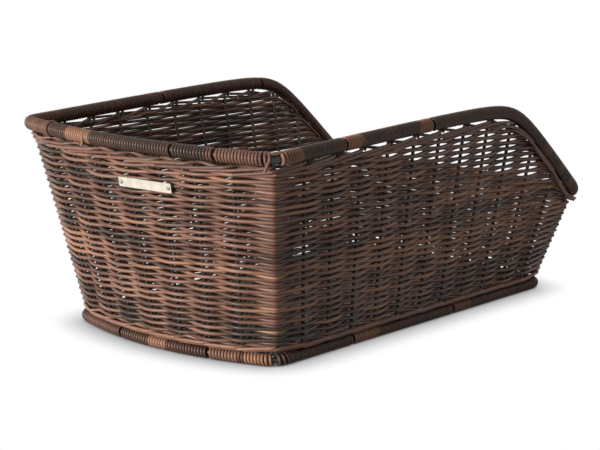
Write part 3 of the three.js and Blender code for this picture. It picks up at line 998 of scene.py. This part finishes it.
class Winding:
    """Strand wound round a hoop's rod."""

    def __init__(self, track, rod):
        self.track = track
        self.radius = (rod + STRAND) / 2

    def frame(self, places):
        along = self.track.direction(places)
        out = unit(np.cross(along, UP))
        return self.track.at(places), out, np.cross(out, along)

    def turns(self, strands, start, end, tone, spread=0.0):
        """Close turns between two places; spread makes them a little larger, as loose turns are."""
        samples = np.linspace(start, end, TURN_SAMPLES)
        travelled = distances(self.track.at(samples))
        turns = max(1, round(travelled[-1] / TURN_PITCH))
        share = np.linspace(0, 1, turns * TURN_STEPS + 1)
        places = np.interp(share * travelled[-1], travelled, samples)
        angle = -2 * math.pi * turns * share - FIRST_ANGLE
        centre, out, up = self.frame(places)
        ray = out * np.cos(angle)[:, None] + up * np.sin(angle)[:, None]
        turned = share * turns
        slack = wander(turns, 1, 0, SLACK)(turned)
        path = centre + ray * (self.radius + spread + slack)[:, None]
        wobble = wander(turns, *FEW_TURNS)(turned) + wander(turns, *MANY_TURNS)(turned)
        tones = np.clip(tone(places) + wobble, *TONE_LIMITS)
        strands.add(path, ray, STRAND / 2, tones)

    def tail(self, strands, place, drop, slant, tone):
        """The end of a strand: over the rod in a notch of the winding, and down at a slant to the border."""
        centre, out, up = (value[0] for value in self.frame(np.array([place])))
        along = np.cross(up, out)
        angle = np.radians(np.linspace(TAIL_ANGLE, 0, OVER_POINTS))[:, None]
        over = centre + (out * np.cos(angle) + up * np.sin(angle)) * self.radius
        share = np.linspace(1 / DOWN_POINTS, 1, DOWN_POINTS)[:, None]
        down = centre + out * lerp(self.radius, STAKE + STRAND, share) - (UP * drop + along * slant) * share
        path = np.concatenate([over, down])
        strands.add(path, along, STRAND / 2, tone)

    def inlay(self, strands, start, end, tone):
        """A strand laid along the bare rod, under the ends of the turns on either side."""
        centre, out, up = self.frame(np.linspace(start, end, INLAY_POINTS))
        path = centre + (out * INLAY_OUT + up * INLAY_UP) * self.radius
        strands.add(path, up, STRAND / 2, tone)


def patches(side, default, *stretches):
    """Tone along one side of a hoop: a default, and stretches as (from, to, tone), in shares of the side."""

    def tone(places):
        values = np.full_like(places, default)
        for start, end, value in stretches:
            values[(places >= bay_of(side, start)) & (places < bay_of(side, end))] = value
        return values

    return tone


def wind_side(winding, strands, side, notches, tone):
    """The winding of one side between its corner bends, with a notch where each length of strand ends."""
    start = bay_of(side, 0) + BEND_WEIGHT
    end = bay_of(side, 1) - BEND_WEIGHT
    length = distances(winding.track.at(np.linspace(start, end, SIDE_SAMPLES)))[-1]
    half_notch = NOTCH / 2 / length * (end - start)
    cuts = [bay_of(side, share) for share in notches]
    starts = [start] + [cut + half_notch for cut in cuts]
    ends = [cut - half_notch for cut in cuts] + [end]
    for first, last in zip(starts, ends):
        winding.turns(strands, first, last, tone)


rim_winding = Winding(frame_wall.top, RIM_ROD)
base_winding = Winding(frame_wall.foot, BASE_ROD)

# Where each side's lengths of strand end, and its tones, as patches takes them, in shares of the side
rim_notches = {"rear": (0.336, 0.682, 0.825), "right": (0.194, 0.464), "saddle": (0.4,), "left": (0.3, 0.62)}
base_notches = {"rear": (0.308, 0.742), "right": (0.25, 0.63), "saddle": (0.5,), "left": (0.3, 0.7)}
rim_tones = {
    "rear": (GREY - 0.06, (0, 0.15, BROWN - 0.14), (0.248, 0.36, ORANGE), (0.8, 1, BROWN - 0.2)),
    "right": (
        DARK,
        (0, 0.07, ORANGE - 0.1),
        (0.194, 0.244, ORANGE),
        (0.422, 0.464, ORANGE),
        (0.86, 0.885, BROWN - 0.2),
        (0.92, 0.935, BROWN - 0.25),
        (0.955, 1, BROWN - 0.1),
    ),
    "saddle": (GREY, (0.4, 0.6, ORANGE)),
    "left": (GREY + 0.1,),
}
base_tones = {
    "rear": (GREY + 0.06, (0.466, 0.554, ORANGE), (0.742, 0.865, BROWN + 0.1), (0.884, 1, ORANGE)),
    "right": (GREY, (0.25, 0.34, ORANGE), (0.63, 0.7, BROWN)),
    "saddle": (GREY, (0.5, 0.66, BROWN)),
    "left": (GREY, (0.3, 0.42, ORANGE)),
}

# Corner windings as (from, to, tone, spread), in bays from the post; the near corners show bare stretches
corner_turns = {
    ("rim", "rear_left"): ((-BEND_WEIGHT, BEND_WEIGHT, BROWN - 0.14, 0.0),),
    ("rim", "rear_right"): (
        (-BEND_WEIGHT, -0.14, BROWN - 0.16, 0.4 * MM),
        (0.15, BEND_WEIGHT, ORANGE - 0.1, 0.0),
    ),
    ("base", "rear_right"): ((-BEND_WEIGHT, -0.13, ORANGE, 0.0), (-0.03, BEND_WEIGHT, GREY, 0.0)),
}
plain_turns = ((-BEND_WEIGHT, BEND_WEIGHT, GREY, 0.0),)

# Loose ends on the rear rim: an open loop's place, as a share of the side, half its width, in bays, how far
# it stands off, and its tone; tails as (share of the side, drop, slant, tone); the span, in bays from the
# post, and the tone of the strand in the bare corner
LOOP_PLACE = 0.154
LOOP_HALF = 0.045
LOOP_SPREAD = 1.6 * MM
LOOP_TONE = BROWN - 0.1
TAILS = ((0.336, 8 * MM, -1 * MM, BROWN), (0.988, 10 * MM, 4 * MM, BROWN - 0.2))
INLAY_SPAN = (-0.16, 0.2)
INLAY_TONE = BROWN - 0.2


def rim_ends(strands):
    loop = bay_of("rear", LOOP_PLACE)
    rim_winding.turns(strands, loop - LOOP_HALF, loop + LOOP_HALF, patches("rear", LOOP_TONE), LOOP_SPREAD)
    for share, drop, slant, tone in TAILS:
        rim_winding.tail(strands, bay_of("rear", share), drop, slant, tone)
    start, end = (bay_of("rear", 1) + bays for bays in INLAY_SPAN)
    rim_winding.inlay(strands, start, end, INLAY_TONE)


def wind_corner(label, winding, side):
    """The winding round the corner at the end of a side."""
    strands = Strands()
    post = bay_of(side, 1)
    corner = CORNERS[side]
    if (label, corner) == ("rim", "rear_right"):
        rim_ends(strands)
    for start, end, tone, spread in corner_turns.get((label, corner), plain_turns):
        winding.turns(strands, post + start, post + end, patches(side, tone), spread)
    strands.build(f"{label}_knot_{corner}", binding_look, "binding_strand", f"{label}_lashing_{corner}")


def wind_hoop(label, winding, notches, tones):
    for side in SIDES:
        strands = Strands()
        wind_side(winding, strands, side, notches[side], patches(side, *tones[side]))
        strands.build(f"{label}_turns_{side}", binding_look, "binding_strand", f"{label}_binding_{side}")
        wind_corner(label, winding, side)


wind_hoop("rim", rim_winding, rim_notches, rim_tones)
wind_hoop("base", base_winding, base_notches, base_tones)


# Woven floor: rows along the length, over and under the cross wires

def floor_edge(side, x):
    """Where the floor meets the base hoop's winding, at one end, for a row at x."""
    inset = base_binding_radius + CLEARANCE + STRAND / 2
    y = base_hoop.edge(side, (x / base_hoop.half + 1) / 2)[1]
    return y + inset if side == "rear" else y - inset


def woven_floor():
    strands = Strands()
    stake_y = frame_wall.foot.at(bay_of("right", np.arange(1, SIDE_BAYS) / SIDE_BAYS))[:, 1]
    wire_x = frame_wall.foot.at(bay_of("rear", np.arange(1, END_BAYS) / END_BAYS))[:, 0]
    side_room = base_hoop.half - base_binding_radius - CLEARANCE
    bounds = np.concatenate([[-side_room - STAKE / 2], wire_x, [side_room + STAKE / 2]])
    swing = (STAKE + STRAND) / 2
    bays_per_metre = (SIDE_BAYS - 2) / (stake_y[-1] - stake_y[0])
    for left, right in zip(bounds[:-1], bounds[1:]):
        room = right - left - STAKE
        rows = int(room // STRAND)
        for row in range(rows):
            x = left + STAKE / 2 + room * (row + 0.5) / rows
            steps = np.linspace(floor_edge("rear", x), floor_edge("saddle", x), SIDE_BAYS * BAY_STEPS)
            bays = 1 + (steps - stake_y[0]) * bays_per_metre
            heights = cross_level + swing * np.cos(math.pi * (bays + row))
            path = np.stack([np.full_like(steps, x), steps, heights], axis=1)
            tone = strand_tones(steps[-1] - steps[0], FLOOR_TONE)(steps - steps[0])
            strands.add(path, ACROSS, STRAND / 2, tone)
    strands.build("floor_weave", weave_look, "weave_strand", "woven_floor")


woven_floor()


# Steel wires

def wire(name, path, facing, diameter, loop=False):
    strands = Strands(WIRE_SIDES)
    strands.add(path, facing, diameter / 2, 0.0, loop)
    strands.build(f"wire_{name}", steel_look, "frame_steel", name)


def bent(points, length):
    """Rounds the inner corners of a path."""
    result = [points[0]]
    for before, corner, after in zip(points[:-2], points[1:-1], points[2:]):
        start = corner + unit(before - corner) * length
        end = corner + unit(after - corner) * length
        for share in np.linspace(0, 1, STAKE_BEND_STEPS):
            result.append(lerp(lerp(start, corner, share), lerp(corner, end, share), share))
    result.append(points[-1])
    return np.array(result)


def upright_tops(places):
    """Where uprights end, under the rim's rod."""
    return frame_wall.place(places, frame_wall.top.at(places)[:, 2] - RIM_ROD / 2 - CLEARANCE)


def stake(name, place, opposite, level):
    """A stake bent like a U: down one wall, across the floor and up the wall opposite."""
    ends = np.array([place, opposite])
    top = upright_tops(ends)
    foot = frame_wall.place(ends, np.full(2, level))
    across = np.cross(foot[1] - foot[0], UP)
    wire(name, bent(np.array([top[0], foot[0], foot[1], top[1]]), STAKE_BEND), unit(across), STAKE)


for number in range(1, SIDE_BAYS):
    opposite = FIRST_UPRIGHT["left"] + SIDE_BAYS - number
    stake(f"cross_stake_{number:02d}", FIRST_UPRIGHT["right"] + number, opposite, cross_level)
for number in range(1, END_BAYS):
    opposite = FIRST_UPRIGHT["saddle"] + END_BAYS - number
    stake(f"length_stake_{number}", FIRST_UPRIGHT["rear"] + number, opposite, length_level)
for side in SIDES:
    post = np.array([float(bay_of(side, 1))])
    inward = -POST_SHIFT * frame_wall.outward(post)[0]
    foot = frame_wall.place(post, np.array([rod_top]))[0] + inward
    top = upright_tops(post)[0] + inward
    wire(f"corner_post_{CORNERS[side]}", np.linspace(foot, top, POST_POINTS), ACROSS, CORNER_POST)
wire("rim_rod", rim_hoop.loop(), UP, RIM_ROD, loop=True)
wire("base_rod", base_hoop.loop(), UP, BASE_ROD, loop=True)


# Nameplate and rivets keep their CAD shapes

for node in ("nameplate", "nameplate_rivet_1", "nameplate_rivet_2"):
    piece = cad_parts[node]
    piece.data.materials.clear()
    piece.data.materials.append(plate_look if node == "nameplate" else rivet_look)


# Studio: white floor, soft light from the left, and the camera

FLOOR_SIZE = 14.0
CAMERA_AZIMUTH = math.radians(41.6)
CAMERA_ELEVATION = math.radians(11.9)
CAMERA_DISTANCE = 1.9517
CAMERA_TARGET = Vector((-0.0246, 0.01475, 0.0772))
FOCAL_PIXELS = 1913.5
IMAGE_WIDTH = 600
FLOOR_BOUNCE = 0.34
SHADOW_REACH = 38 * MM
WORLD_LIGHT = 0.26
LAMP_DISTANCE = 3.0


def seen_directly(tree):
    """1 for rays from the camera, straight or by way of a mirror or glass, and 0 for scattered light."""
    path = tree.nodes.new("ShaderNodeLightPath")
    seen = tree.math("ADD", path.outputs["Is Camera Ray"], path.outputs["Is Glossy Ray"])
    return tree.math("MAXIMUM", seen, path.outputs["Is Transmission Ray"])


def add_floor():
    """A white floor with a painted contact shadow, darker close to the basket as under soft light, that
    throws back only some light.
    """
    mesh = bpy.data.meshes.new("studio_floor")
    half = FLOOR_SIZE / 2
    corners = [(-half, -half, 0), (half, -half, 0), (half, half, 0), (-half, half, 0)]
    mesh.from_pydata(corners, [], [(0, 1, 2, 3)])
    floor = new_object("studio_floor", mesh)
    material = bpy.data.materials.new("studio_white")
    mesh.materials.append(material)
    tree = NodeTree(material)
    tree.nodes.remove(tree.nodes["Principled BSDF"])
    # Painted shadow: the white that the camera sees is an emission dimmed by ambient occlusion near the
    # basket, not shade from the lamps
    painted_contact_shadow = tree.node("AmbientOcclusion", {"Distance": SHADOW_REACH}, "AO")
    white = tree.node("Emission", {"Strength": painted_contact_shadow}, "Emission")
    grey = tree.node("BsdfDiffuse", {"Color": (FLOOR_BOUNCE, FLOOR_BOUNCE, FLOOR_BOUNCE, 1.0)}, "BSDF")
    surface = tree.node("MixShader", {"Fac": seen_directly(tree), 1: grey, 2: white}, "Shader")
    tree.link(surface, tree.nodes["Material Output"].inputs["Surface"])


def add_world():
    """Even light from all round, seen as white."""
    world = bpy.data.worlds.new("studio")
    bpy.context.scene.world = world
    tree = NodeTree(world)
    background = tree.nodes["Background"].inputs
    background["Color"].default_value = (1.0, 1.0, 1.0, 1.0)
    tree.link(tree.map_range(seen_directly(tree), low=WORLD_LIGHT, high=1.0), background["Strength"])


def add_sun(name, azimuth, elevation, strength, angle):
    """A distant lamp, wide enough for soft shadows; azimuth is counted as the camera's is."""
    lamp = bpy.data.lights.new(name, "SUN")
    lamp.energy = strength
    lamp.angle = math.radians(angle)
    place_at(new_object(name, lamp), math.radians(azimuth), math.radians(elevation), LAMP_DISTANCE)


def place_at(thing, azimuth, elevation, distance):
    level = math.cos(elevation)
    back = Vector((math.sin(azimuth) * level, -math.cos(azimuth) * level, math.sin(elevation)))
    thing.location = CAMERA_TARGET + back * distance
    thing.rotation_euler = back.to_track_quat("Z", "Y").to_euler()


def add_camera():
    camera = bpy.data.cameras.new("photo_camera")
    camera.lens = FOCAL_PIXELS * camera.sensor_width / IMAGE_WIDTH
    holder = new_object("photo_camera", camera)
    place_at(holder, CAMERA_AZIMUTH, CAMERA_ELEVATION, CAMERA_DISTANCE)
    bpy.context.scene.camera = holder


add_floor()
add_world()
add_sun("key", azimuth=-14, elevation=10, strength=4.55, angle=20)
add_camera()
bpy.context.scene.view_settings.view_transform = "Standard"
